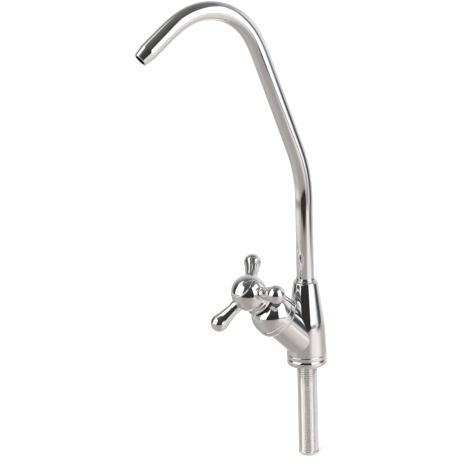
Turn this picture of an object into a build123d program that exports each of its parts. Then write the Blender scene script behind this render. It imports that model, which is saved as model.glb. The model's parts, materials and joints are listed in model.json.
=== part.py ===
from build123d import *
from math import cos, radians, sin, sqrt
import os

# Drinking water filter tap. Millimetres, +Z up, front towards -Y.
# The origin is the centre of the foot, in the plane of the worktop.
# Profiles of turned pieces are drawn with X as the radius and Y along the axis.

# Driving sizes of the column
foot_radius = 10.9
foot_edge_bevel = 0.25
foot_bead_height = 1.6
foot_groove_width = 0.8
foot_groove_depth = 0.35
foot_groove_lip = 0.2
waist_height = 15.0
waist_radius = 10.55
cone_height = 25.0
cone_radius = 9.8
shoulder_height = 45.4
shoulder_radius = 6.85
rim_radius = 6.05
column_height = 46.9

# Driving sizes of the ring at the foot and the seal in it
ring_height = 3.9
ring_radius = 10.86
ring_lower_round = 1.5
ring_crown_height = 1.5
ring_crown_width = 0.4
seal_outer_radius = 9.2
seal_inner_radius = 6.6
seal_height = 1.4

# Driving sizes of the shank
shank_radius = 5.555
shank_length = 52.2
shank_engagement = 5.2
shank_neck_radius = 5.3
shank_neck_drop = 0.4
shank_bore_radius = 2.4
inlet_radius = 3.25
inlet_depth = 12.0
thread_pitch = 1.0583
thread_depth = 0.45
thread_land = 0.2
thread_start = 0.7
shank_chamfer = 0.8
gasket_height = 0.9
gasket_inner_radius = 3.4

# Driving sizes of the branch, which leans forward
branch_angle = 45
branch_height = 11.7
barrel_radius = 9.7
barrel_end = 22.0
spigot_radius = 8.6
spigot_end = 30.0
chamber_start = 15.0
chamber_radius = 7.3
inlet_pocket_depth = 1.2
inlet_pocket_radius = 4.3
passage_radius = 2.4
outlet_passage_radius = 1.9

# Driving sizes of the bonnet, measured along the branch
bonnet_radius = 12.05
bonnet_foot_radius = 9.85
bonnet_bead_width = 5.4
bonnet_bead_round = 3.5
bonnet_groove_width = 0.5
bonnet_groove_depth = 0.35
bonnet_wall = 1.1
bonnet_brow_angle = 36
bonnet_face_bevel = 0.55
bonnet_face = 37.4
bonnet_face_radius = 8.1
bonnet_hole_radius = 6.1

# Driving sizes of the handle
hub_station = 48.43
hub_radius = 9.7
skirt_radius = 7.95
skirt_reach = 9.2
skirt_rim_width = 1.5
skirt_waist_radius = 7.25
skirt_bore_radius = 6.7
skirt_bore_depth = 4.8
skirt_lip_round = 0.5
boss_radius = 3.5
boss_reach = 11.5
arm_count = 3
arm_turn_angle = 45.55
arm_reach = 22.3
knob_radius = 4.85
neck_radius = 3.1
neck_flare_angle = 10
swell_angle = 17
stud_radius = 1.9
stud_root = 5.6
cap_radius = 7.5
cap_depth = 1.6
cap_dome_radius = 9.2
cap_proud = 0.1
cap_edge_round = 0.3
cap_stem_radius = 4.6
cap_stem_wall = 1.0
cap_stem_length = 1.2

# Driving sizes of the screw that holds the handle
screw_radius = 1.5
screw_head_radius = 3.0
screw_head_height = 2.0
screw_head_round = 0.65
screw_length = 10.0
screw_recess_radius = 1.15
screw_recess_depth = 1.2
web_front = 2.2
web_back = 1.6

# Driving sizes of the spindle and its seals
spindle_radius = 3.6
spindle_square = 5.0
spindle_flange_radius = 5.4
spindle_flange_height = 1.7
clip_width = 0.8
clip_radius = 4.7
clip_gap = 3.6
clip_groove_depth = 0.4
seal_cord_radius = 0.6
spindle_seal_stations = (28.2, 31.6)

# Driving sizes of the headwork and its discs
sleeve_radius = 6.25
sleeve_bore_radius = 5.8
land_start = 25.2
land_radius = 7.0
land_seal_station = 27.2
land_seal_cord_radius = 0.75
hex_flange_radius = 8.3
hex_flange_height = 2.2
neck_end = 40.4
housing_neck_radius = 5.3
window_start = 20.4
window_length = 3.2
window_width = 4.4
disc_radius = 5.55
fixed_disc_height = 2.8
turning_disc_height = 2.6
port_circle_radius = 3.1
port_width = 2.2
port_length = 4.2
drive_pin_radius = 0.85
drive_pin_circle_radius = 4.1
drive_pin_depth = 1.1
seat_seal_height = 1.2
seat_seal_wall = 0.9
washer_height = 0.6

# Driving sizes of the spout
tube_radius = 4.76
tube_wall = 1.0
tube_foot_gap = 1.8
lean_height = 107.1
lean_angle = 20.3
lean_bend_radius = 78.0
lean_run = 115.7
tip_droop_angle = 38.3
arch_radius = 30.0
tip_run = 64.7
nozzle_length = 6.0
nozzle_radius = 3.8
nozzle_bore_radius = 3.05

# Driving sizes of the socket that the spout turns in
socket_radius = 4.86
socket_depth = 16.3
bushing_radius = 5.25
bushing_length = 3.4
collar_height = 2.0
collar_lip = 0.2
collar_bead_radius = 5.8
collar_bead_height = 1.1
collar_waist_radius = 5.3
snap_ring_drop = 7.7
snap_ring_width = 1.0
snap_ring_radius = 5.35
snap_ring_gap = 3.2
snap_groove_depth = 0.5
insert_radius = 4.7
insert_foot_gap = 0.9
insert_bore_radius = 2.7
insert_spigot_length = 5.0
spout_seal_drops = (13.3, 10.3)
spout_seal_cord_radius = 0.75

# Clearances shared by every fit
running_clearance = 0.08
seat_clearance = 0.05
loose_clearance = 0.3
cut_overrun = 1.0

# Directions and stations worked out from the sizes above
lean_back = Vector(0, -sin(radians(branch_angle)), cos(radians(branch_angle)))
rise_back = Vector(0, cos(radians(branch_angle)), sin(radians(branch_angle)))
branch_foot = Vector(0, 0, branch_height)
hub_centre = branch_foot + lean_back * hub_station
column_axis = Axis.Z
branch_axis = Axis(branch_foot, lean_back)
column_side = Plane(origin=(0, 0, 0), x_dir=(1, 0, 0), z_dir=(0, -1, 0))
branch_side = Plane(origin=branch_foot, x_dir=(1, 0, 0), z_dir=rise_back * -1)
body_floor = ring_height
socket_floor = column_height - socket_depth
snap_groove_height = column_height - snap_ring_drop
tube_foot_height = snap_groove_height + snap_ring_width + tube_foot_gap
spout_seal_heights = [column_height - drop for drop in spout_seal_drops]
insert_foot = socket_floor + insert_foot_gap
skirt_mouth = hub_station - skirt_reach
skirt_ceiling = hub_station - skirt_bore_depth
fixed_disc_start = chamber_start + seat_seal_height
turning_disc_start = fixed_disc_start + fixed_disc_height
turning_disc_end = turning_disc_start + turning_disc_height
spindle_flange_start = turning_disc_end + seat_clearance
spindle_flange_end = spindle_flange_start + spindle_flange_height
washer_start = spindle_flange_end + seat_clearance
sleeve_ceiling = washer_start + washer_height
housing_foot = chamber_start + seat_seal_height / 2
hex_flange_end = spigot_end + hex_flange_height
clip_start = neck_end + seat_clearance
spindle_end = hub_station - web_back - loose_clearance
stem_bore_radius = spindle_radius + running_clearance
cap_seat = sqrt(hub_radius**2 - cap_radius**2)
shank_top = body_floor + shank_engagement


def branch_plane(station):
    """Plane square to the branch, with X towards +X and Z along the branch."""
    return Plane(origin=branch_foot + lean_back * station, x_dir=(1, 0, 0), z_dir=lean_back)


def ring_profile(centre_radius, cord_radius, heights):
    """Round cord sections for the seals of one set."""
    for height in heights:
        with Locations((centre_radius, height)):
            Circle(cord_radius)


def arm_axis(turn):
    """Direction of a handle arm, counted from the rising side of the handle."""
    return rise_back * cos(radians(turn)) + Vector(-1, 0, 0) * sin(radians(turn))


def arm_plane(turn):
    """Plane that holds an arm's outline: Y runs out along the arm."""
    return Plane(origin=hub_centre, x_dir=lean_back, z_dir=lean_back.cross(arm_axis(turn)))


def save(piece, name):
    """Label a finished piece and write it to its own file."""
    piece.part.label = name
    export_step(piece.part, f"parts/{name}.step")


os.makedirs("parts", exist_ok=True)

# Body: tapered column with the barrel, the spout's socket and the water's way through
with BuildPart() as tap_body:
    with BuildSketch(column_side):
        with BuildLine():
            bead_floor = body_floor + foot_edge_bevel
            bead_top = bead_floor + foot_bead_height
            groove_top = bead_top + foot_groove_width
            groove_radius = foot_radius - foot_groove_depth
            cone_way = (shoulder_radius - cone_radius, shoulder_height - cone_height)
            Polyline(
                (0, column_height),
                (0, body_floor),
                (foot_radius - foot_edge_bevel, body_floor),
                (foot_radius, bead_floor),
                (foot_radius, bead_top),
            )
            TangentArc(
                (foot_radius, bead_top),
                (groove_radius, groove_top - foot_groove_lip),
                tangent=(0, 1),
            )
            Line((groove_radius, groove_top - foot_groove_lip), (foot_radius, groove_top))
            Spline(
                (foot_radius, groove_top),
                (waist_radius, waist_height),
                (cone_radius, cone_height),
                tangents=[(0, 1), cone_way],
            )
            Line((cone_radius, cone_height), (shoulder_radius, shoulder_height))
            Spline(
                (shoulder_radius, shoulder_height),
                (rim_radius, column_height),
                tangents=[cone_way, (-1, 0)],
            )
            Line((rim_radius, column_height), (0, column_height))
        make_face()
    revolve(axis=column_axis)
    with BuildSketch(branch_plane(0)):
        Circle(barrel_radius)
    extrude(amount=barrel_end)
    with BuildSketch(branch_plane(0)):
        Circle(spigot_radius)
    extrude(amount=spigot_end)
    # Shank's socket and the rising passage to the branch
    with BuildSketch(Plane.XY.offset(body_floor)):
        Circle(shank_neck_radius + seat_clearance)
    extrude(amount=shank_engagement + gasket_height, mode=Mode.SUBTRACT)
    with BuildSketch(Plane.XY.offset(body_floor)):
        Circle(passage_radius)
    extrude(amount=branch_height - body_floor, mode=Mode.SUBTRACT)
    with Locations(branch_foot):
        Sphere(passage_radius, mode=Mode.SUBTRACT)
    with BuildSketch(branch_plane(0)):
        Circle(passage_radius)
    extrude(amount=chamber_start, mode=Mode.SUBTRACT)
    # Valve chamber
    with BuildSketch(branch_plane(chamber_start - inlet_pocket_depth)):
        Circle(inlet_pocket_radius)
    extrude(amount=inlet_pocket_depth, mode=Mode.SUBTRACT)
    with BuildSketch(branch_plane(chamber_start)):
        Circle(chamber_radius)
    extrude(amount=spigot_end - chamber_start + cut_overrun, mode=Mode.SUBTRACT)
    # Spout's socket with the bushing's seat and the snap ring's groove
    with BuildSketch(Plane.XY.offset(socket_floor)):
        Circle(socket_radius)
    extrude(amount=column_height - socket_floor + cut_overrun, mode=Mode.SUBTRACT)
    with BuildSketch(Plane.XY.offset(column_height - bushing_length)):
        Circle(bushing_radius + seat_clearance)
    extrude(amount=bushing_length + cut_overrun, mode=Mode.SUBTRACT)
    with BuildSketch(Plane.XY.offset(snap_groove_height - seat_clearance)):
        Circle(snap_ring_radius + seat_clearance)
    extrude(amount=snap_ring_width + 2 * seat_clearance, mode=Mode.SUBTRACT)
    # Slanted passage from the chamber's side to the socket
    outlet_mouth = branch_foot + lean_back * (window_start - outlet_passage_radius)
    outlet_mouth = outlet_mouth + rise_back * (chamber_radius - outlet_passage_radius)
    outlet_end = Vector(0, 0, insert_foot + outlet_passage_radius)
    outlet_way = outlet_end - outlet_mouth
    with BuildSketch(Plane(origin=outlet_mouth, x_dir=(1, 0, 0), z_dir=outlet_way)):
        Circle(outlet_passage_radius)
    extrude(amount=outlet_way.length, mode=Mode.SUBTRACT)
save(tap_body, "tap_body")

# Ring at the foot, with a recess for the seal in its underside
with BuildPart() as base_escutcheon:
    with BuildSketch(column_side):
        with BuildLine():
            bore = shank_radius + seat_clearance
            lip = ring_lower_round
            crown_floor = ring_height - ring_crown_height
            Polyline(
                (ring_radius - ring_crown_width, ring_height),
                (bore, ring_height),
                (bore, 0),
                (seal_inner_radius, 0),
                (seal_inner_radius, seal_height),
                (seal_outer_radius, seal_height),
                (seal_outer_radius, 0),
                (ring_radius - lip, 0),
            )
            RadiusArc((ring_radius - lip, 0), (ring_radius, lip), -lip)
            Line((ring_radius, lip), (ring_radius, crown_floor))
            TangentArc(
                (ring_radius, crown_floor),
                (ring_radius - ring_crown_width, ring_height),
                tangent=(0, 1),
            )
        make_face()
    revolve(axis=column_axis)
save(base_escutcheon, "base_escutcheon")

with BuildPart() as base_seal:
    with BuildSketch():
        Circle(seal_outer_radius - seat_clearance)
        Circle(seal_inner_radius + seat_clearance, mode=Mode.SUBTRACT)
    extrude(amount=seal_height)
save(base_seal, "base_seal")

# Shank: a plain neck in the body, a turned thread with flat crests and a stepped bore
with BuildPart() as threaded_shank:
    with BuildSketch(Plane.XY.offset(-shank_length)):
        Circle(shank_radius)
    extrude(amount=shank_length - shank_neck_drop)
    chamfer(threaded_shank.edges().sort_by(Axis.Z)[0], length=shank_chamfer)
    with BuildSketch(Plane.XY.offset(-shank_neck_drop)):
        Circle(shank_neck_radius)
    extrude(amount=shank_neck_drop + shank_top)
    with BuildSketch(column_side):
        groove_width = thread_pitch - thread_land
        groove_count = int((shank_length - shank_chamfer - thread_start) / thread_pitch)
        for groove in range(groove_count):
            groove_top = -thread_start - groove * thread_pitch
            with BuildLine():
                Polyline(
                    (shank_radius, groove_top),
                    (shank_radius - thread_depth, groove_top - groove_width / 2),
                    (shank_radius, groove_top - groove_width),
                    (shank_radius + thread_depth, groove_top - groove_width / 2),
                    close=True,
                )
            make_face()
    revolve(axis=column_axis, mode=Mode.SUBTRACT)
    with BuildSketch(Plane.XY.offset(-shank_length)):
        Circle(shank_bore_radius)
    extrude(amount=shank_length + shank_top, mode=Mode.SUBTRACT)
    with BuildSketch(Plane.XY.offset(-shank_length)):
        Circle(inlet_radius)
    extrude(amount=inlet_depth, mode=Mode.SUBTRACT)
save(threaded_shank, "threaded_shank")

with BuildPart() as shank_gasket:
    with BuildSketch(Plane.XY.offset(shank_top)):
        Circle(shank_neck_radius)
        Circle(gasket_inner_radius, mode=Mode.SUBTRACT)
    extrude(amount=gasket_height)
save(shank_gasket, "shank_gasket")

# Bonnet: a hollow dome with a groove and a rounded bead at its foot
with BuildPart() as bonnet_cover:
    with BuildSketch(branch_side):
        with BuildLine():
            bead_end = barrel_end + bonnet_bead_width
            dome_start = bead_end + bonnet_groove_width
            groove_floor = bonnet_radius - bonnet_groove_depth
            dome_crown = bonnet_face - bonnet_face_bevel
            face_edge = bonnet_face_radius - bonnet_face_bevel
            brow_way = (-cos(radians(bonnet_brow_angle)), sin(radians(bonnet_brow_angle)))
            spigot_bore = spigot_radius + seat_clearance
            dome_bore = bonnet_radius - bonnet_wall
            Line((spigot_bore, barrel_end), (bonnet_foot_radius, barrel_end))
            Spline(
                (bonnet_foot_radius, barrel_end),
                (bonnet_radius, barrel_end + bonnet_bead_round),
                tangents=[(1, 1), (0, 1)],
            )
            Line((bonnet_radius, barrel_end + bonnet_bead_round), (bonnet_radius, bead_end))
            Polyline(
                (bonnet_radius, bead_end),
                (groove_floor, bead_end + bonnet_groove_width / 2),
                (bonnet_radius, dome_start),
            )
            Spline(
                (bonnet_radius, dome_start),
                (bonnet_face_radius, dome_crown),
                tangents=[(0, 1), brow_way],
            )
            Line((bonnet_face_radius, dome_crown), (face_edge, bonnet_face))
            Line((face_edge, bonnet_face), (bonnet_hole_radius, bonnet_face))
            Line((bonnet_hole_radius, bonnet_face), (bonnet_hole_radius, dome_crown - bonnet_wall))
            Spline(
                (bonnet_hole_radius, dome_crown - bonnet_wall),
                (dome_bore, dome_start),
                tangents=[(1, 0), (0, -1)],
            )
            Line((dome_bore, dome_start), (spigot_bore, dome_start))
            Line((spigot_bore, dome_start), (spigot_bore, barrel_end))
        make_face()
    revolve(axis=branch_axis)
save(bonnet_cover, "bonnet_cover")

# Headwork: a windowed sleeve, a land with its seal groove, a hexagon and a neck
with BuildPart() as cartridge_housing:
    with BuildSketch(branch_plane(housing_foot)):
        Circle(sleeve_radius)
    extrude(amount=land_start - housing_foot)
    with BuildSketch(branch_plane(land_start)):
        Circle(land_radius)
    extrude(amount=spigot_end - land_start)
    with BuildSketch(branch_plane(spigot_end)):
        RegularPolygon(hex_flange_radius, 6)
    extrude(amount=hex_flange_height)
    with BuildSketch(branch_plane(hex_flange_end)):
        Circle(housing_neck_radius)
    extrude(amount=neck_end - hex_flange_end)
    with BuildSketch(branch_plane(housing_foot)):
        Circle(sleeve_bore_radius)
    extrude(amount=sleeve_ceiling - housing_foot, mode=Mode.SUBTRACT)
    with BuildSketch(branch_plane(housing_foot)):
        Circle(stem_bore_radius)
    extrude(amount=neck_end - housing_foot, mode=Mode.SUBTRACT)
    with BuildSketch(branch_plane(window_start)):
        Rectangle(2 * chamber_radius, window_width)
        Rectangle(window_width, 2 * chamber_radius)
    extrude(amount=window_length, mode=Mode.SUBTRACT)
    with BuildSketch(branch_plane(land_seal_station - land_seal_cord_radius)):
        Circle(land_radius + cut_overrun)
        Circle(chamber_radius - 2 * land_seal_cord_radius - seat_clearance, mode=Mode.SUBTRACT)
    extrude(amount=2 * land_seal_cord_radius, mode=Mode.SUBTRACT)
save(cartridge_housing, "cartridge_housing")

with BuildPart() as cartridge_o_ring:
    with BuildSketch(branch_side):
        ring_profile(chamber_radius - land_seal_cord_radius, land_seal_cord_radius, [land_seal_station])
    revolve(axis=branch_axis)
save(cartridge_o_ring, "cartridge_o_ring")

with BuildPart() as seat_seal:
    with BuildSketch(branch_plane(chamber_start)):
        Circle(disc_radius)
        Circle(disc_radius - seat_seal_wall, mode=Mode.SUBTRACT)
    extrude(amount=seat_seal_height)
save(seat_seal, "seat_seal")

# Ceramic discs: their ports cross while the tap is closed
with BuildPart() as fixed_disc:
    with BuildSketch(branch_plane(fixed_disc_start)):
        Circle(disc_radius)
        with PolarLocations(port_circle_radius, 2):
            SlotOverall(port_length, port_width, rotation=90, mode=Mode.SUBTRACT)
    extrude(amount=fixed_disc_height)
save(fixed_disc, "fixed_disc")

with BuildPart() as turning_disc:
    with BuildSketch(branch_plane(turning_disc_start)):
        Circle(disc_radius - seat_clearance)
        with PolarLocations(port_circle_radius, 2, start_angle=90):
            SlotOverall(port_length, port_width, rotation=90, mode=Mode.SUBTRACT)
    extrude(amount=turning_disc_height)
    with BuildSketch(branch_plane(turning_disc_end)):
        with PolarLocations(drive_pin_circle_radius, 2):
            Circle(drive_pin_radius + seat_clearance)
    extrude(amount=-drive_pin_depth - seat_clearance, mode=Mode.SUBTRACT)
save(turning_disc, "turning_disc")

# Spindle: drive pins, flange, stem with seal and clip grooves, square head
with BuildPart() as valve_spindle:
    with BuildSketch(branch_plane(spindle_flange_start)):
        Circle(spindle_flange_radius)
    extrude(amount=spindle_flange_height)
    with BuildSketch(branch_plane(turning_disc_end - drive_pin_depth)):
        with PolarLocations(drive_pin_circle_radius, 2):
            Circle(drive_pin_radius)
    extrude(amount=drive_pin_depth + spindle_flange_height)
    with BuildSketch(branch_plane(spindle_flange_end)):
        Circle(spindle_radius)
    extrude(amount=skirt_ceiling - spindle_flange_end)
    with BuildSketch(branch_plane(skirt_ceiling)):
        Rectangle(spindle_square, spindle_square)
    extrude(amount=spindle_end - skirt_ceiling)
    for station in spindle_seal_stations:
        with BuildSketch(branch_plane(station - seal_cord_radius)):
            Circle(spindle_radius + cut_overrun)
            Circle(stem_bore_radius - 2 * seal_cord_radius - running_clearance, mode=Mode.SUBTRACT)
        extrude(amount=2 * seal_cord_radius, mode=Mode.SUBTRACT)
    with BuildSketch(branch_plane(clip_start)):
        Circle(spindle_radius + cut_overrun)
        Circle(spindle_radius - clip_groove_depth, mode=Mode.SUBTRACT)
    extrude(amount=clip_width + seat_clearance, mode=Mode.SUBTRACT)
    with BuildSketch(branch_plane(spindle_end)):
        Circle(screw_radius + seat_clearance)
    extrude(amount=-screw_length, mode=Mode.SUBTRACT)
save(valve_spindle, "valve_spindle")

with BuildPart() as spindle_o_rings:
    with BuildSketch(branch_side):
        seal_circle_radius = stem_bore_radius - seal_cord_radius - running_clearance / 2
        ring_profile(seal_circle_radius, seal_cord_radius, spindle_seal_stations)
    revolve(axis=branch_axis)
save(spindle_o_rings, "spindle_o_rings")

with BuildPart() as thrust_washer:
    with BuildSketch(branch_plane(washer_start)):
        Circle(spindle_flange_radius)
        Circle(spindle_radius + running_clearance, mode=Mode.SUBTRACT)
    extrude(amount=washer_height)
save(thrust_washer, "thrust_washer")

with BuildPart() as spindle_clip:
    with BuildSketch(branch_plane(clip_start)):
        Circle(clip_radius)
        Circle(spindle_radius - clip_groove_depth + seat_clearance, mode=Mode.SUBTRACT)
        with Locations((clip_radius, 0)):
            Rectangle(clip_radius, clip_gap, mode=Mode.SUBTRACT)
    extrude(amount=clip_width)
save(spindle_clip, "spindle_clip")

# Handle hub: a ball with a skirt, three bosses and a recess for the cap and the screw
with BuildPart() as handle_hub:
    with Locations(Location(hub_centre)):
        Sphere(hub_radius)
    with BuildSketch(branch_side) as skirt_side:
        with BuildLine():
            rim_top = skirt_mouth + skirt_rim_width
            Polyline(
                (0, hub_station),
                (0, skirt_mouth),
                (skirt_radius, skirt_mouth),
                (skirt_radius, rim_top),
                (skirt_waist_radius, rim_top),
                (skirt_waist_radius, hub_station),
                close=True,
            )
        make_face()
        fillet(skirt_side.vertices().sort_by(Axis.X)[-2:], radius=skirt_lip_round)
    revolve(axis=branch_axis)
    for arm in range(arm_count):
        boss_plane = Plane(
            origin=hub_centre,
            x_dir=lean_back,
            z_dir=arm_axis(arm_turn_angle + arm * 360 / arm_count),
        )
        with BuildSketch(boss_plane):
            Circle(boss_radius)
        extrude(amount=boss_reach)
    for arm in range(arm_count):
        hole_axis = arm_axis(arm_turn_angle + arm * 360 / arm_count)
        hole_origin = hub_centre + hole_axis * (stud_root - loose_clearance)
        with BuildSketch(Plane(origin=hole_origin, x_dir=lean_back, z_dir=hole_axis)):
            Circle(stud_radius + seat_clearance)
        extrude(amount=boss_reach, mode=Mode.SUBTRACT)
    # Skirt's hollow and the square socket for the spindle
    hollow_reach = max(skirt_reach, hub_radius) + cut_overrun
    with BuildSketch(branch_plane(hub_station - hollow_reach)):
        Circle(skirt_bore_radius)
    extrude(amount=hollow_reach - skirt_bore_depth, mode=Mode.SUBTRACT)
    with BuildSketch(branch_plane(skirt_ceiling)):
        socket_square = spindle_square + 2 * seat_clearance
        Rectangle(socket_square, socket_square)
    extrude(amount=skirt_bore_depth - web_back, mode=Mode.SUBTRACT)
    # Recess for the cap, pocket for its stem and the screw's head, and the screw's hole
    with BuildSketch(branch_plane(hub_station + cap_seat - cap_depth)):
        Circle(cap_radius)
    extrude(amount=hub_radius, mode=Mode.SUBTRACT)
    with BuildSketch(branch_plane(hub_station + web_front)):
        Circle(cap_stem_radius + seat_clearance)
    extrude(amount=hub_radius, mode=Mode.SUBTRACT)
    with BuildSketch(branch_plane(hub_station)):
        Circle(screw_radius + running_clearance)
    extrude(amount=hub_radius, both=True, mode=Mode.SUBTRACT)
save(handle_hub, "handle_hub")

# Arms: a stud, a slender neck and a taper that swells into a ball end
arm_names = ("handle_arm_upper", "handle_arm_left", "handle_arm_right")
for arm, arm_name in enumerate(arm_names):
    turn = arm_turn_angle + arm * 360 / arm_count
    with BuildPart() as handle_arm:
        with BuildSketch(arm_plane(turn)):
            with BuildLine():
                swell = arm_reach - knob_radius * sin(radians(swell_angle))
                swell_radius = knob_radius * cos(radians(swell_angle))
                neck_way = (sin(radians(neck_flare_angle)), cos(radians(neck_flare_angle)))
                swell_way = (sin(radians(swell_angle)), cos(radians(swell_angle)))
                Polyline(
                    (0, stud_root),
                    (stud_radius, stud_root),
                    (stud_radius, boss_reach),
                    (neck_radius, boss_reach),
                )
                Spline(
                    (neck_radius, boss_reach),
                    (swell_radius, swell),
                    tangents=[neck_way, swell_way],
                )
                ThreePointArc(
                    (swell_radius, swell),
                    (knob_radius, arm_reach),
                    (0, arm_reach + knob_radius),
                )
                Line((0, arm_reach + knob_radius), (0, stud_root))
            make_face()
        revolve(axis=Axis(hub_centre, arm_axis(turn)))
    save(handle_arm, arm_name)

# Cap: a shallow dome with a short stem that snaps into the hub
with BuildPart() as index_cap:
    with BuildSketch(branch_side):
        with BuildLine():
            cap_ball = hub_radius + cap_proud
            cap_rim = cap_radius - seat_clearance
            edge_radius = cap_rim - cap_edge_round
            edge_rise = sqrt(cap_ball**2 - edge_radius**2)
            dome_rise = sqrt(cap_dome_radius**2 - edge_radius**2)
            cap_top = hub_station + edge_rise + cap_dome_radius - dome_rise
            cap_floor = hub_station + cap_seat - cap_depth
            stem_floor = cap_floor - cap_stem_length
            Polyline(
                (0, cap_top),
                (0, cap_floor),
                (cap_stem_radius - cap_stem_wall, cap_floor),
                (cap_stem_radius - cap_stem_wall, stem_floor),
                (cap_stem_radius, stem_floor),
                (cap_stem_radius, cap_floor),
                (cap_rim, cap_floor),
                (cap_rim, hub_station + edge_rise - cap_edge_round),
            )
            Spline(
                (cap_rim, hub_station + edge_rise - cap_edge_round),
                (edge_radius, hub_station + edge_rise),
                tangents=[(0, 1), (-dome_rise, edge_radius)],
            )
            RadiusArc((edge_radius, hub_station + edge_rise), (0, cap_top), -cap_dome_radius)
        make_face()
    revolve(axis=branch_axis)
save(index_cap, "index_cap")

# Screw through the hub's web into the spindle
with BuildPart() as handle_screw:
    with BuildSketch(branch_plane(hub_station + web_front)):
        Circle(screw_head_radius)
    extrude(amount=screw_head_height)
    fillet(handle_screw.edges().sort_by(branch_axis)[-1], radius=screw_head_round)
    with BuildSketch(branch_plane(hub_station + web_front)):
        Circle(screw_radius)
    extrude(amount=-screw_length)
    with BuildSketch(branch_plane(hub_station + web_front + screw_head_height)):
        RegularPolygon(screw_recess_radius, 6)
    extrude(amount=-screw_recess_depth, mode=Mode.SUBTRACT)
save(handle_screw, "handle_screw")

# Spout tube: straight foot, gentle lean, round arch and a drooping tip with a taper
lean_turn = radians(lean_angle)
droop_turn = radians(tip_droop_angle)
lean_point = Vector(0, 0, lean_height)
arch_point = lean_point + Vector(0, -sin(lean_turn), cos(lean_turn)) * lean_run
tip_way = Vector(0, -cos(droop_turn), -sin(droop_turn))
outlet_point = arch_point + tip_way * tip_run
nozzle_point = outlet_point - tip_way * nozzle_length
with BuildLine() as spout_path:
    FilletPolyline(
        (0, 0, tube_foot_height),
        lean_point,
        arch_point,
        nozzle_point,
        radius=[lean_bend_radius, arch_radius],
    )
with BuildPart() as spout_tube:
    with BuildSketch(Plane.XY.offset(tube_foot_height)):
        Circle(tube_radius)
        Circle(tube_radius - tube_wall, mode=Mode.SUBTRACT)
    sweep(path=spout_path.line)
    with BuildSketch(Plane(origin=nozzle_point, x_dir=(1, 0, 0), z_dir=tip_way)):
        Circle(tube_radius)
    with BuildSketch(Plane(origin=outlet_point, x_dir=(1, 0, 0), z_dir=tip_way)):
        Circle(nozzle_radius)
    loft()
    with BuildSketch(Plane(origin=nozzle_point, x_dir=(1, 0, 0), z_dir=tip_way)):
        Circle(tube_radius - tube_wall)
    with BuildSketch(Plane(origin=outlet_point, x_dir=(1, 0, 0), z_dir=tip_way)):
        Circle(nozzle_bore_radius)
    loft(mode=Mode.SUBTRACT)
save(spout_tube, "spout_tube")

# Insert in the spout's foot, with grooves for two seals and the snap ring
with BuildPart() as spout_insert:
    with BuildSketch(Plane.XY.offset(insert_foot)):
        Circle(insert_radius)
    extrude(amount=tube_foot_height - insert_foot)
    with BuildSketch(Plane.XY.offset(tube_foot_height)):
        Circle(tube_radius - tube_wall - seat_clearance)
    extrude(amount=insert_spigot_length)
    with BuildSketch(Plane.XY.offset(insert_foot)):
        Circle(insert_bore_radius)
    extrude(amount=tube_foot_height + insert_spigot_length - insert_foot, mode=Mode.SUBTRACT)
    for height in spout_seal_heights:
        with BuildSketch(Plane.XY.offset(height - spout_seal_cord_radius)):
            Circle(insert_radius + cut_overrun)
            Circle(socket_radius - 2 * spout_seal_cord_radius - running_clearance, mode=Mode.SUBTRACT)
        extrude(amount=2 * spout_seal_cord_radius, mode=Mode.SUBTRACT)
    with BuildSketch(Plane.XY.offset(snap_groove_height - running_clearance)):
        Circle(insert_radius + cut_overrun)
        Circle(insert_radius - snap_groove_depth, mode=Mode.SUBTRACT)
    extrude(amount=snap_ring_width + 2 * running_clearance, mode=Mode.SUBTRACT)
save(spout_insert, "spout_insert")

with BuildPart() as spout_o_rings:
    with BuildSketch(column_side):
        spout_seal_circle = socket_radius - spout_seal_cord_radius - running_clearance / 2
        ring_profile(spout_seal_circle, spout_seal_cord_radius, spout_seal_heights)
    revolve(axis=column_axis)
save(spout_o_rings, "spout_o_rings")

with BuildPart() as spout_snap_ring:
    with BuildSketch(Plane.XY.offset(snap_groove_height)):
        Circle(snap_ring_radius)
        Circle(insert_radius - snap_groove_depth + running_clearance, mode=Mode.SUBTRACT)
        with Locations((snap_ring_radius, 0)):
            Rectangle(snap_ring_radius, snap_ring_gap, mode=Mode.SUBTRACT)
    extrude(amount=snap_ring_width)
save(spout_snap_ring, "spout_snap_ring")

with BuildPart() as spout_bushing:
    with BuildSketch(Plane.XY.offset(column_height - bushing_length)):
        Circle(bushing_radius)
        Circle(tube_radius + running_clearance, mode=Mode.SUBTRACT)
    extrude(amount=bushing_length)
save(spout_bushing, "spout_bushing")

# Collar: a small ring on the rim of the column, with a bead and a hollow neck
with BuildPart() as spout_collar:
    with BuildSketch(column_side):
        with BuildLine():
            collar_bore = tube_radius + running_clearance
            bead_crest = column_height + collar_bead_height / 2
            bead_roof = column_height + collar_bead_height
            collar_top = column_height + collar_height
            Polyline(
                (collar_bore + collar_lip, collar_top),
                (collar_bore, collar_top),
                (collar_bore, column_height),
                (collar_waist_radius, column_height),
            )
            ThreePointArc(
                (collar_waist_radius, column_height),
                (collar_bead_radius, bead_crest),
                (collar_waist_radius, bead_roof),
            )
            Line((collar_waist_radius, bead_roof), (collar_bore + collar_lip, collar_top))
        make_face()
    revolve(axis=column_axis)
save(spout_collar, "spout_collar")
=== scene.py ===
"""Looks of a chrome drinking water filter tap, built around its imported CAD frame. Metres, +Z up."""

import json
import math

import bpy
from mathutils import Matrix, Vector


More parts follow.
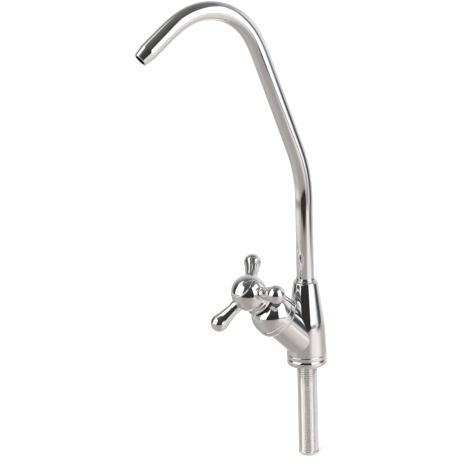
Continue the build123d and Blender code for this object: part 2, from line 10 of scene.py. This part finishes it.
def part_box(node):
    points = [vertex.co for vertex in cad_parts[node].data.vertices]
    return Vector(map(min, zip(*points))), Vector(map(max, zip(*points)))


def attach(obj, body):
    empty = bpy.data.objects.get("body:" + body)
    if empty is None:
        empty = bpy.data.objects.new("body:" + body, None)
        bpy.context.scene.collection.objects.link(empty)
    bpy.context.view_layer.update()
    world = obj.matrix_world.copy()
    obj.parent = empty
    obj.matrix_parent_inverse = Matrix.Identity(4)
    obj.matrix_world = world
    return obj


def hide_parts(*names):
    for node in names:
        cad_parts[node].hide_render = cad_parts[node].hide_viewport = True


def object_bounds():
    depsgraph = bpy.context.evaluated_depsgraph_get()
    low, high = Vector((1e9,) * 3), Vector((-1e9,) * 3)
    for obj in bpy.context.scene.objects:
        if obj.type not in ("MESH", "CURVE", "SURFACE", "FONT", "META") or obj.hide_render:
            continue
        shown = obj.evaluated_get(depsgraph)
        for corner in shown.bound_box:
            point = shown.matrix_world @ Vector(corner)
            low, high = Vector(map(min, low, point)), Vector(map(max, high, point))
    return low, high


MM = 0.001

# Sizes of the shank and its thread. The land is the flat crest, as a share of the pitch.
THREAD_RADIUS = 5.555 * MM
THREAD_PITCH = 1.0583 * MM
THREAD_DEPTH = 0.45 * MM
THREAD_LAND_SHARE = 0.19
THREAD_TOP = -0.7 * MM
NECK_RADIUS = 5.3 * MM
NECK_FOOT = -0.4 * MM
SHANK_CHAMFER = 0.8 * MM
INLET_RADIUS = 3.25 * MM
INLET_DEPTH = 12.0 * MM
SHANK_BORE_RADIUS = 2.4 * MM
SHANK_SIDES = 96
SHANK_CREASE = 25

# Sizes of the spout's tube and its route. The taper's rings lie this far past its start, in mm.
TUBE_RADIUS = 4.76 * MM
TUBE_BORE_RADIUS = 3.76 * MM
OUTLET_RADIUS = 3.8 * MM
OUTLET_BORE_RADIUS = 3.05 * MM
OUTLET_EDGE = 0.12 * MM
TAPER_LENGTH = 6.0 * MM
TAPER_SOFTNESS = 0.5 * MM
TUBE_FOOT_HEIGHT = 42.0 * MM
LEAN_HEIGHT = 107.1 * MM
LEAN_ANGLE = 20.3
LEAN_RUN = 115.7 * MM
LEAN_BEND_RADIUS = 78.0 * MM
TIP_DROOP_ANGLE = 38.3
TIP_RUN = 64.7 * MM
ARCH_RADIUS = 30.0 * MM
BEND_EASE_SHARE = 0.25
BEND_STEPS = 400
BEND_RING_STEP = 1.0 * MM
STRAIGHT_RING_STEP = 4.0 * MM
TAPER_APPROACH = 2.0 * MM
TAPER_RING_PLACES = (-0.6, -0.3, 0.0, 0.3, 0.6, 1.0, 2.0, 3.0, 4.0, 5.0)
TUBE_SIDES = 96
TUBE_CREASE = 30

# The photograph's camera: where it stands round the origin, what it aims at and its lens
CAMERA_AZIMUTH = 60.109
CAMERA_ELEVATION = 20.036
CAMERA_DISTANCE = 886.1 * MM
CAMERA_AIM = (-16.99 * MM, -32.85 * MM, 73.59 * MM)
CAMERA_ROLL = -1.806
SENSOR_WIDTH = 36.0
LENS = 124.25
NEAREST_SEEN = 50 * MM
FARTHEST_SEEN = 30000 * MM

# The soft lamp, the world's light and the floor
LAMP_BEARING = -50
LAMP_ELEVATION = 60
LAMP_DISTANCE = 1500 * MM
LAMP_SIZE = 1200 * MM
LAMP_POWER = 14.0
WORLD_LIGHT = 0.7
WORLD_SEEN = 1.0
FLOOR_REACH = 8000 * MM
FLOOR_TONE = (0.93, 0.93, 0.93)
FLOOR_GLOW = 0.3
WHITE = (1.0, 1.0, 1.0)

# The studio that the polished metal reflects. Bearings count to the right of the camera and
# heights above the horizon, both in degrees. A tone line gives brightness along the bearings,
# and the tone lines of the table and the room lie at the heights listed with them.
STUDIO_RADIUS = 610 * MM
STUDIO_HEIGHT = 46 * MM
STUDIO_STEP = 1.0
PANEL_WHITE = 1.25
PANEL_SOFTNESS = 2.0
HORIZON = (
    (-180, -11), (-92, -10.5), (-47, -10.5), (-28, -11.6), (2, -13), (14, -12.2), (28, -10.5),
    (180, -11),
)
HORIZON_SOFTNESS = 0.6
UNDER_TABLE = ((-180, 0.36), (180, 0.36))
FAR_TABLE = (
    (-180, 0.8), (-165, 0.6), (-148, 0.42), (-120, 0.4), (-90, 0.47), (-60, 0.46), (-40, 0.4), (0, 0.4),
    (20, 0.5), (45, 0.68), (70, 0.72), (100, 0.62), (130, 0.6), (150, 0.66), (170, 0.85), (180, 0.85),
)
NEAR_TABLE = (
    (-180, 0.85), (-160, 0.6), (-135, 0.42), (-105, 0.5), (-70, 0.55), (-45, 0.38), (10, 0.36),
    (22, 0.55), (35, 0.85), (70, 0.95), (85, 0.75), (100, 0.48), (125, 0.5), (150, 0.78), (180, 0.9),
)
EDGE_TABLE = (
    (-180, 0.85), (-150, 0.68), (-135, 0.62), (-90, 0.82), (-60, 0.6), (-45, 0.45), (-32, 0.3),
    (20, 0.3), (32, 0.7), (42, 1.0), (62, 0.8), (72, 0.25), (80, 0.08), (92, 0.12), (105, 0.45),
    (120, 0.68), (150, 0.92), (180, 0.95),
)
LOW_ROOM = (
    (-180, 0.85), (-165, 0.6), (-125, 0.5), (-115, 0.1), (-95, 0.05), (-60, 0.05), (-45, 0.03),
    (28, 0.03), (34, 0.35), (60, 0.4), (66, 0.8), (76, 0.7), (84, 0.1), (104, 0.06), (112, 0.35),
    (120, 0.7), (150, 0.8), (168, 0.95), (180, 0.85),
)
MID_ROOM = (
    (-180, 0.7), (-150, 0.58), (-128, 0.34), (-112, 0.1), (-95, 0.045), (-30, 0.06), (-20, 0.045),
    (24, 0.045), (66, 0.22), (88, 0.15), (96, 0.5), (104, 0.8), (112, 0.9), (130, 0.85), (150, 0.8),
    (180, 0.7),
)
HIGH_ROOM = (
    (-180, 0.4), (-120, 0.24), (-95, 0.2), (-25, 0.1), (22, 0.08), (50, 0.14), (66, 0.22),
    (90, 0.28), (120, 0.4), (150, 0.42), (180, 0.4),
)
CEILING = ((-180, 0.16), (-60, 0.15), (0, 0.12), (50, 0.12), (80, 0.17), (180, 0.16))
ROOM_HEIGHTS = (0, 8, 17, 32, 52, 60, 68, 90)
ROOM_ROWS = (LOW_ROOM, LOW_ROOM, MID_ROOM, MID_ROOM, HIGH_ROOM, HIGH_ROOM, CEILING, CEILING)
TABLE_HEIGHTS = (-90, -62, -30, -20, -16, -12, -5)
TABLE_ROWS = (UNDER_TABLE, FAR_TABLE, FAR_TABLE, NEAR_TABLE, NEAR_TABLE, EDGE_TABLE, EDGE_TABLE)

# The two white panels: their left and right edges by height, their top by bearing and their foot
PANELS = (
    (
        ((28, -89), (42, -100), (75, -114)),
        ((-12, -45), (25, -32), (50, -34), (75, -60)),
        ((-114, 68), (-95, 62), (-75, 55), (-55, 50), (-35, 44)),
        -8,
    ),
    (
        ((-12, 28), (25, 25), (50, 20)),
        ((10, 70), (25, 75), (40, 85), (55, 88)),
        ((22, 49), (64, 57)),
        -6.5,
    ),
)

# Hues of the grey tones, and how cool the room is along the bearings
WARM = (1.05, 0.985, 0.955)
COOL = (0.96, 0.985, 1.04)
COOL_BEARINGS = ((-180, 0.0), (60, 0.0), (75, 1.0), (150, 1.0), (180, 0.0))

# Finish of each slot: two colours, metallic, roughness range, scale of the colour's clouds, depth of
# the relief in metres and scale of the relief
CLOUD_DETAIL = 3.0
CLOUD_ROUGHNESS = 0.5
RELIEF_DETAIL = 4.0
RELIEF_ROUGHNESS = 0.6
NOISE_LOW = 0.3
NOISE_HIGH = 0.7
FINISHES = {
    "chrome": (((0.87, 0.865, 0.87), (0.9, 0.9, 0.905)), 1.0, (0.02, 0.05), 90, 0.4e-6, 700),
    "nickel": (((0.9, 0.86, 0.83), (0.95, 0.92, 0.9)), 0.7, (0.05, 0.08), 300, 0.2e-6, 1500),
    # The brass colours are far darker than brass itself: partly the metal's own hue, partly painted
    # shade for the headwork seen in the gap between the handle and the bonnet.
    "brass": (((0.2, 0.15, 0.08), (0.27, 0.2, 0.11)), 1.0, (0.35, 0.5), 250, 3e-6, 2200),
    "rubber": (((0.02, 0.02, 0.02), (0.035, 0.035, 0.035)), 0.0, (0.5, 0.7), 400, 8e-6, 3000),
    "ceramic": (((0.85, 0.84, 0.8), (0.9, 0.89, 0.86)), 0.0, (0.15, 0.3), 300, 1e-6, 2000),
    "plastic": (((0.8, 0.8, 0.78), (0.86, 0.86, 0.84)), 0.0, (0.3, 0.45), 300, 3e-6, 1800),
    "steel": (((0.58, 0.58, 0.6), (0.66, 0.66, 0.67)), 1.0, (0.18, 0.32), 260, 2e-6, 2400),
}

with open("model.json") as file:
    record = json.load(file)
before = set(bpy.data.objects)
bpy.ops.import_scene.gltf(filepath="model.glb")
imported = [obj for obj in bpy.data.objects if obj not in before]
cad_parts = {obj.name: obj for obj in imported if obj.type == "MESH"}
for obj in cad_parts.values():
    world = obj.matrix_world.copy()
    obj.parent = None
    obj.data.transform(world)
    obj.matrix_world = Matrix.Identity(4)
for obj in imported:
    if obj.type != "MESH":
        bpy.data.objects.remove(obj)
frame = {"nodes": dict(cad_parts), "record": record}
cad_low, cad_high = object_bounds()
nodes = frame["nodes"]


def ramp(value, stops):
    """Value on a line through stops of (place, value)."""
    if value <= stops[0][0]:
        return stops[0][1]
    for (left, first), (right, second) in zip(stops, stops[1:]):
        if value <= right:
            return first + (second - first) * (value - left) / (right - left)
    return stops[-1][1]


def step_up(value, edge, softness):
    """0 below an edge and 1 above it, with a soft change between."""
    share = min(max((value - edge) / softness + 0.5, 0.0), 1.0)
    return share * share * (3 - 2 * share)


def row_tone(azimuth, elevation, heights, rows):
    """Brightness between rows that lie at given heights."""
    tones = [(height, ramp(azimuth, row)) for height, row in zip(heights, rows)]
    return ramp(elevation, tones)


def panel_share(azimuth, elevation):
    """1 inside one of the white panels, 0 outside."""
    total = 0.0
    for left_edge, right_edge, top_edge, foot in PANELS:
        share = step_up(azimuth, ramp(elevation, left_edge), PANEL_SOFTNESS)
        share *= 1 - step_up(azimuth, ramp(elevation, right_edge), PANEL_SOFTNESS)
        share *= 1 - step_up(elevation, ramp(azimuth, top_edge), 2 * PANEL_SOFTNESS)
        total += share * step_up(elevation, foot, PANEL_SOFTNESS)
    return total


def studio_colour(azimuth, elevation):
    """Colour that the studio shows at a bearing and a height."""
    room = row_tone(azimuth, elevation, ROOM_HEIGHTS, ROOM_ROWS)
    table = row_tone(azimuth, elevation, TABLE_HEIGHTS, TABLE_ROWS)
    above = step_up(elevation, ramp(azimuth, HORIZON), HORIZON_SOFTNESS)
    tone = table + (room - table) * above
    cool = ramp(azimuth, COOL_BEARINGS) * above
    hue = [warm + (cold - warm) * cool for warm, cold in zip(WARM, COOL)]
    panel = panel_share(azimuth, elevation)
    return [tone * part * (1 - panel) + PANEL_WHITE * panel for part in hue]


def new_material(name):
    """Empty node material with its output node."""
    material = bpy.data.materials.new(name)
    material.use_nodes = True
    material.node_tree.nodes.clear()
    output = material.node_tree.nodes.new("ShaderNodeOutputMaterial")
    return material, material.node_tree, output


def noise(tree, scale, detail, roughness):
    """Noise in the object's own coordinates."""
    place = tree.nodes.new("ShaderNodeTexCoord")
    texture = tree.nodes.new("ShaderNodeTexNoise")
    texture.inputs["Scale"].default_value = scale
    texture.inputs["Detail"].default_value = detail
    texture.inputs["Roughness"].default_value = roughness
    tree.links.new(place.outputs["Object"], texture.inputs["Vector"])
    return texture.outputs["Fac"]


def spread(tree, source, low, high, start=0.0, end=1.0):
    """Maps a value that runs from start to end onto a range."""
    ranged = tree.nodes.new("ShaderNodeMapRange")
    ranged.inputs["From Min"].default_value = start
    ranged.inputs["From Max"].default_value = end
    ranged.inputs["To Min"].default_value = low
    ranged.inputs["To Max"].default_value = high
    tree.links.new(source, ranged.inputs["Value"])
    return ranged.outputs["Result"]


def tint(tree, source, first, second):
    """Colour between two by a value."""
    mix = tree.nodes.new("ShaderNodeMix")
    mix.data_type = "RGBA"
    colours = [socket for socket in mix.inputs if socket.type == "RGBA"]
    colours[0].default_value = (*first, 1.0)
    colours[1].default_value = (*second, 1.0)
    tree.links.new(source, mix.inputs["Factor"])
    return next(socket for socket in mix.outputs if socket.type == "RGBA")


def surface(name, colours, metallic, roughness, grain, bump, bump_scale):
    """Procedural surface: two colours, a roughness range and a fine bump, all from noise."""
    material, tree, output = new_material(name)
    shader = tree.nodes.new("ShaderNodeBsdfPrincipled")
    shader.inputs["Metallic"].default_value = metallic
    cloud = noise(tree, grain, CLOUD_DETAIL, CLOUD_ROUGHNESS)
    fine = noise(tree, bump_scale, RELIEF_DETAIL, RELIEF_ROUGHNESS)
    tree.links.new(tint(tree, cloud, *colours), shader.inputs["Base Color"])
    polish = spread(tree, fine, *roughness, NOISE_LOW, NOISE_HIGH)
    tree.links.new(polish, shader.inputs["Roughness"])
    relief = tree.nodes.new("ShaderNodeBump")
    relief.inputs["Strength"].default_value = 1.0
    relief.inputs["Distance"].default_value = bump
    tree.links.new(fine, relief.inputs["Height"])
    tree.links.new(relief.outputs["Normal"], shader.inputs["Normal"])
    tree.links.new(shader.outputs["BSDF"], output.inputs["Surface"])
    return material


MATERIALS = {slot: surface(slot, *finish) for slot, finish in FINISHES.items()}


def dress_nodes():
    """Every CAD node gets the material of its slot in the record."""
    for part in frame["record"]["subparts"]:
        piece = nodes[part["node"]]
        piece.data.materials.clear()
        piece.data.materials.append(MATERIALS[part["material_slot"]])


def bearing(azimuth, elevation):
    """Unit vector for a bearing from the camera's side and a height above the horizon, in degrees."""
    turn = math.radians(CAMERA_AZIMUTH + azimuth)
    rise = math.radians(elevation)
    flat = math.cos(rise)
    return Vector((math.sin(turn) * flat, -math.cos(turn) * flat, math.sin(rise)))


def new_mesh_object(name, points, faces):
    """Object from plain lists of points and faces."""
    mesh = bpy.data.meshes.new(name)
    mesh.from_pydata(points, [], faces)
    mesh.validate()
    made = bpy.data.objects.new(name, mesh)
    bpy.context.scene.collection.objects.link(made)
    return made


def smooth(piece, crease_angle):
    """Smooth shading with creases at sharper edges than the angle."""
    piece.data.shade_smooth()
    piece.data.set_sharp_from_angle(angle=math.radians(crease_angle))


def join_rings(rings, faces, start, sides, shift=0):
    """Faces between rings of points that follow each other. The last column joins a ring further on."""
    for ring in range(rings - 1):
        for side in range(sides):
            far = (side + 1) % sides
            hop = shift if side == sides - 1 else 0
            if ring + 1 + hop < rings:
                here = start + ring * sides
                there = here + sides
                onward = hop * sides + far
                faces.append((here + side, there + side, there + onward, here + onward))


def lathe(outline, points, faces):
    """Rings of points round the Z axis for an outline of (radius, height)."""
    start = len(points)
    for radius, height in outline:
        for side in range(SHANK_SIDES):
            turn = 2 * math.pi * side / SHANK_SIDES
            points.append((radius * math.cos(turn), radius * math.sin(turn), height))
    join_rings(len(outline), faces, start, SHANK_SIDES)


def make_shank():
    """Shank with a real helical thread between its neck and its chamfer."""
    low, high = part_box("threaded_shank")
    foot, top = low.z, high.z
    thread_foot = foot + SHANK_CHAMFER + THREAD_PITCH
    land = THREAD_LAND_SHARE
    # Corners of one turn: (share of the pitch, share of the depth)
    corners = ((0.0, 0.0), (land, 0.0), ((1 + land) / 2, 1.0))
    turns = int((THREAD_TOP - thread_foot) / THREAD_PITCH) + 2
    points, faces = [], []
    for row in range(turns * len(corners)):
        turn_number, corner = divmod(row, len(corners))
        share, depth = corners[corner]
        for side in range(SHANK_SIDES):
            angle = 2 * math.pi * side / SHANK_SIDES
            wanted = THREAD_TOP + THREAD_PITCH * (1 - turn_number - share - side / SHANK_SIDES)
            height = min(max(wanted, thread_foot), THREAD_TOP)
            above = (THREAD_TOP - height) / THREAD_PITCH
            below = (height - thread_foot) / THREAD_PITCH
            run_out = min(above, below, 1.0)
            radius = THREAD_RADIUS - THREAD_DEPTH * depth * run_out
            points.append((radius * math.cos(angle), radius * math.sin(angle), height))
    join_rings(turns * len(corners), faces, 0, SHANK_SIDES, len(corners))
    neck = (
        (SHANK_BORE_RADIUS, top), (NECK_RADIUS, top), (NECK_RADIUS, NECK_FOOT),
        (THREAD_RADIUS, NECK_FOOT), (THREAD_RADIUS, THREAD_TOP),
    )
    lathe(neck, points, faces)
    inlet_end = foot + INLET_DEPTH
    end_and_bore = (
        (THREAD_RADIUS, thread_foot), (THREAD_RADIUS, foot + SHANK_CHAMFER),
        (THREAD_RADIUS - SHANK_CHAMFER, foot), (INLET_RADIUS, foot), (INLET_RADIUS, inlet_end),
        (SHANK_BORE_RADIUS, inlet_end), (SHANK_BORE_RADIUS, top),
    )
    lathe(end_and_bore, points, faces)
    shank = new_mesh_object("threaded_shank_look", points, faces)
    smooth(shank, SHANK_CREASE)
    shank.data.materials.append(MATERIALS["nickel"])
    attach(shank, "tap")
    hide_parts("threaded_shank")


def bend_angles(turn, offset):
    """Eased bend: its length, its reach along either leg and its turn at each share of the length.

    The curvature rises, stays and falls again. The bend passes as far from its corner as the offset.
    """
    ease = BEND_EASE_SHARE
    steps = BEND_STEPS
    angles = []
    for step in range(steps + 1):
        share = step / steps
        near = min(share, 1 - share)
        if near < ease:
            part = near * near / (2 * ease)
        else:
            part = near - ease / 2
        part /= 1 - ease
        angles.append(turn * (part if share <= 0.5 else 1 - part))
    across = sum(math.cos(angle - turn / 2) for angle in angles[:-1]) / steps
    rise = sum(math.sin(turn / 2 - angle) for angle in angles[: steps // 2]) / steps
    reach = across / 2 / math.cos(turn / 2)
    height = reach * math.sin(turn / 2) - rise
    length = offset / height
    return length, reach * length, angles


def advance(route, span, heading, same=False):
    """Adds a point a span further on, or moves the last point on."""
    forward, up, _ = route[-1]
    place = (forward + span * math.sin(heading), up + span * math.cos(heading), heading)
    if same:
        route[-1] = place
    else:
        route.append(place)


def tube_route():
    """Points and headings along the tube's middle, in its plane: (forward, up, heading from upright)."""
    lean = math.radians(LEAN_ANGLE)
    droop = math.radians(90 + TIP_DROOP_ANGLE)
    legs = (LEAN_HEIGHT - TUBE_FOOT_HEIGHT, LEAN_RUN, TIP_RUN)
    bends = []
    for turn, radius in ((lean, LEAN_BEND_RADIUS), (droop - lean, ARCH_RADIUS)):
        bends.append(bend_angles(turn, radius * (1 / math.cos(turn / 2) - 1)))
    runs = (legs[0] - bends[0][1], legs[1] - bends[0][1] - bends[1][1], legs[2] - bends[1][1])
    route = [(0.0, TUBE_FOOT_HEIGHT, 0.0)]
    base = 0.0
    for number, run in enumerate(runs):
        steps = max(2, round(run / STRAIGHT_RING_STEP))
        for _ in range(steps):
            advance(route, run / steps, base)
        if number < len(bends):
            length, _, angles = bends[number]
            rings = round(length / BEND_RING_STEP)
            for ring in range(rings):
                first = round(ring * (len(angles) - 1) / rings)
                last = round((ring + 1) * (len(angles) - 1) / rings)
                span = length / (len(angles) - 1)
                for place in range(first, last):
                    middle = base + (angles[place] + angles[place + 1]) / 2
                    advance(route, span, middle, place > first)
                route[-1] = (route[-1][0], route[-1][1], base + angles[last])
            base += angles[-1]
    return route


def taper_share(length, whole):
    """How far the taper has gone: 0 along the tube and 1 at the outlet, with a soft start."""
    gone = length - (whole - TAPER_LENGTH)
    soft = TAPER_SOFTNESS
    if gone < -soft:
        return 0.0
    if gone < soft:
        return (gone + soft) ** 2 / (4 * soft) / TAPER_LENGTH
    return gone / TAPER_LENGTH


def make_tube():
    """Spout's tube with eased bends, a tapered outlet and an open bore."""
    route = tube_route()
    lengths = [0.0]
    for (forward, up, _), (next_forward, next_up, _) in zip(route, route[1:]):
        lengths.append(lengths[-1] + math.hypot(next_forward - forward, next_up - up))
    whole = lengths[-1]
    forward, up, heading = route[-1]
    approach = whole - TAPER_LENGTH - TAPER_APPROACH
    keep = [place for place, length in zip(route, lengths) if length < approach]
    keep_lengths = [length for length in lengths if length < approach]
    marks = [whole - TAPER_LENGTH + place * MM for place in TAPER_RING_PLACES]
    marks += [whole - OUTLET_EDGE, whole]
    for mark in marks:
        back = whole - mark
        keep.append((forward - back * math.sin(heading), up - back * math.cos(heading), heading))
        keep_lengths.append(mark)
    shares = [taper_share(length, whole) for length in keep_lengths]
    outer = [TUBE_RADIUS - (TUBE_RADIUS - OUTLET_RADIUS) * share for share in shares]
    bore = [TUBE_BORE_RADIUS - (TUBE_BORE_RADIUS - OUTLET_BORE_RADIUS) * share for share in shares]
    outer[-1] -= OUTLET_EDGE
    rings = list(zip(keep, outer)) + list(zip(reversed(keep), reversed(bore)))
    rings.append(rings[0])
    points, faces = [], []
    for (forward, up, heading), radius in rings:
        for side in range(TUBE_SIDES):
            turn = 2 * math.pi * side / TUBE_SIDES
            sideways = radius * math.cos(turn)
            outward = radius * math.sin(turn)
            front = -forward - outward * math.cos(heading)
            points.append((sideways, front, up - outward * math.sin(heading)))
    join_rings(len(rings), faces, 0, TUBE_SIDES)
    tube = new_mesh_object("spout_tube_look", points, faces)
    smooth(tube, TUBE_CREASE)
    tube.data.materials.append(MATERIALS["chrome"])
    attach(tube, "spout")
    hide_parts("spout_tube")


def facing(place, target):
    """Placement at a point, looking at another."""
    turn = (target - place).to_track_quat("-Z", "Y").to_matrix().to_4x4()
    return Matrix.Translation(place) @ turn


def make_camera():
    """Camera at the photograph's viewing angle."""
    data = bpy.data.cameras.new("camera")
    data.sensor_width = SENSOR_WIDTH
    data.lens = LENS
    data.clip_start = NEAREST_SEEN
    data.clip_end = FARTHEST_SEEN
    camera = bpy.data.objects.new("camera", data)
    bpy.context.scene.collection.objects.link(camera)
    place = bearing(0, CAMERA_ELEVATION) * CAMERA_DISTANCE
    roll = Matrix.Rotation(math.radians(CAMERA_ROLL), 4, "Z")
    camera.matrix_world = facing(place, Vector(CAMERA_AIM)) @ roll
    bpy.context.scene.camera = camera


def make_studio():
    """Glowing shell round the tap that only polished metal sees."""
    rows = round(180 / STUDIO_STEP) + 1
    sides = round(360 / STUDIO_STEP)
    middle = Vector((0, 0, STUDIO_HEIGHT))
    points, faces, colours = [], [], []
    for row in range(rows):
        elevation = -90 + row * STUDIO_STEP
        for side in range(sides):
            azimuth = -180 + side * STUDIO_STEP
            points.append(bearing(azimuth, elevation) * STUDIO_RADIUS + middle)
            colours.extend((*studio_colour(azimuth, elevation), 1.0))
    join_rings(rows, faces, 0, sides)
    studio = new_mesh_object("studio", points, faces)
    values = studio.data.attributes.new("glow", "FLOAT_COLOR", "POINT")
    values.data.foreach_set("color", colours)
    material, tree, output = new_material("studio")
    attribute = tree.nodes.new("ShaderNodeAttribute")
    attribute.attribute_name = "glow"
    glow = tree.nodes.new("ShaderNodeEmission")
    tree.links.new(attribute.outputs["Color"], glow.inputs["Color"])
    tree.links.new(glow.outputs["Emission"], output.inputs["Surface"])
    material.cycles.emission_sampling = "NONE"
    studio.data.materials.append(material)
    studio.visible_camera = False
    studio.visible_diffuse = False
    studio.visible_shadow = False
    studio.visible_volume_scatter = False


def seen_share(tree):
    """1 for rays from the camera, off polished metal and through glass, and 0 for the rest."""
    path = tree.nodes.new("ShaderNodeLightPath")
    total = tree.nodes.new("ShaderNodeMath")
    tree.links.new(path.outputs["Is Camera Ray"], total.inputs[0])
    tree.links.new(path.outputs["Is Glossy Ray"], total.inputs[1])
    capped = tree.nodes.new("ShaderNodeMath")
    capped.use_clamp = True
    tree.links.new(total.outputs["Value"], capped.inputs[0])
    tree.links.new(path.outputs["Is Transmission Ray"], capped.inputs[1])
    return capped.outputs["Value"]


def make_light():
    """White world and one large soft lamp, at a plain level."""
    world = bpy.data.worlds.new("world")
    bpy.context.scene.world = world
    world.use_nodes = True
    tree = world.node_tree
    tree.nodes.clear()
    output = tree.nodes.new("ShaderNodeOutputWorld")
    back = tree.nodes.new("ShaderNodeBackground")
    back.inputs["Color"].default_value = (*WHITE, 1.0)
    strength = spread(tree, seen_share(tree), WORLD_LIGHT, WORLD_SEEN)
    tree.links.new(strength, back.inputs["Strength"])
    tree.links.new(back.outputs["Background"], output.inputs["Surface"])
    lamp = bpy.data.lights.new("soft_lamp", "AREA")
    lamp.shape = "DISK"
    lamp.size = LAMP_SIZE
    lamp.energy = LAMP_POWER
    key = bpy.data.objects.new("soft_lamp", lamp)
    bpy.context.scene.collection.objects.link(key)
    key.matrix_world = facing(bearing(LAMP_BEARING, LAMP_ELEVATION) * LAMP_DISTANCE, Vector())
    key.visible_camera = False
    key.visible_glossy = False


def make_floor():
    """White floor at the shank's end. It keeps the tap's shadow."""
    signs = ((-1, -1), (1, -1), (1, 1), (-1, 1))
    corners = [(x * FLOOR_REACH, y * FLOOR_REACH, cad_low.z) for x, y in signs]
    floor = new_mesh_object("floor", corners, [(0, 1, 2, 3)])
    material, tree, output = new_material("floor")
    matt = tree.nodes.new("ShaderNodeBsdfDiffuse")
    matt.inputs["Color"].default_value = (*FLOOR_TONE, 1.0)
    glow = tree.nodes.new("ShaderNodeEmission")
    strength = spread(tree, seen_share(tree), 0.0, FLOOR_GLOW)
    tree.links.new(strength, glow.inputs["Strength"])
    both = tree.nodes.new("ShaderNodeAddShader")
    tree.links.new(matt.outputs["BSDF"], both.inputs[0])
    tree.links.new(glow.outputs["Emission"], both.inputs[1])
    tree.links.new(both.outputs["Shader"], output.inputs["Surface"])
    floor.data.materials.append(material)
    floor.visible_glossy = False


dress_nodes()
make_shank()
make_tube()
make_camera()
make_studio()
make_light()
make_floor()
bpy.context.scene.view_settings.view_transform = "Standard"
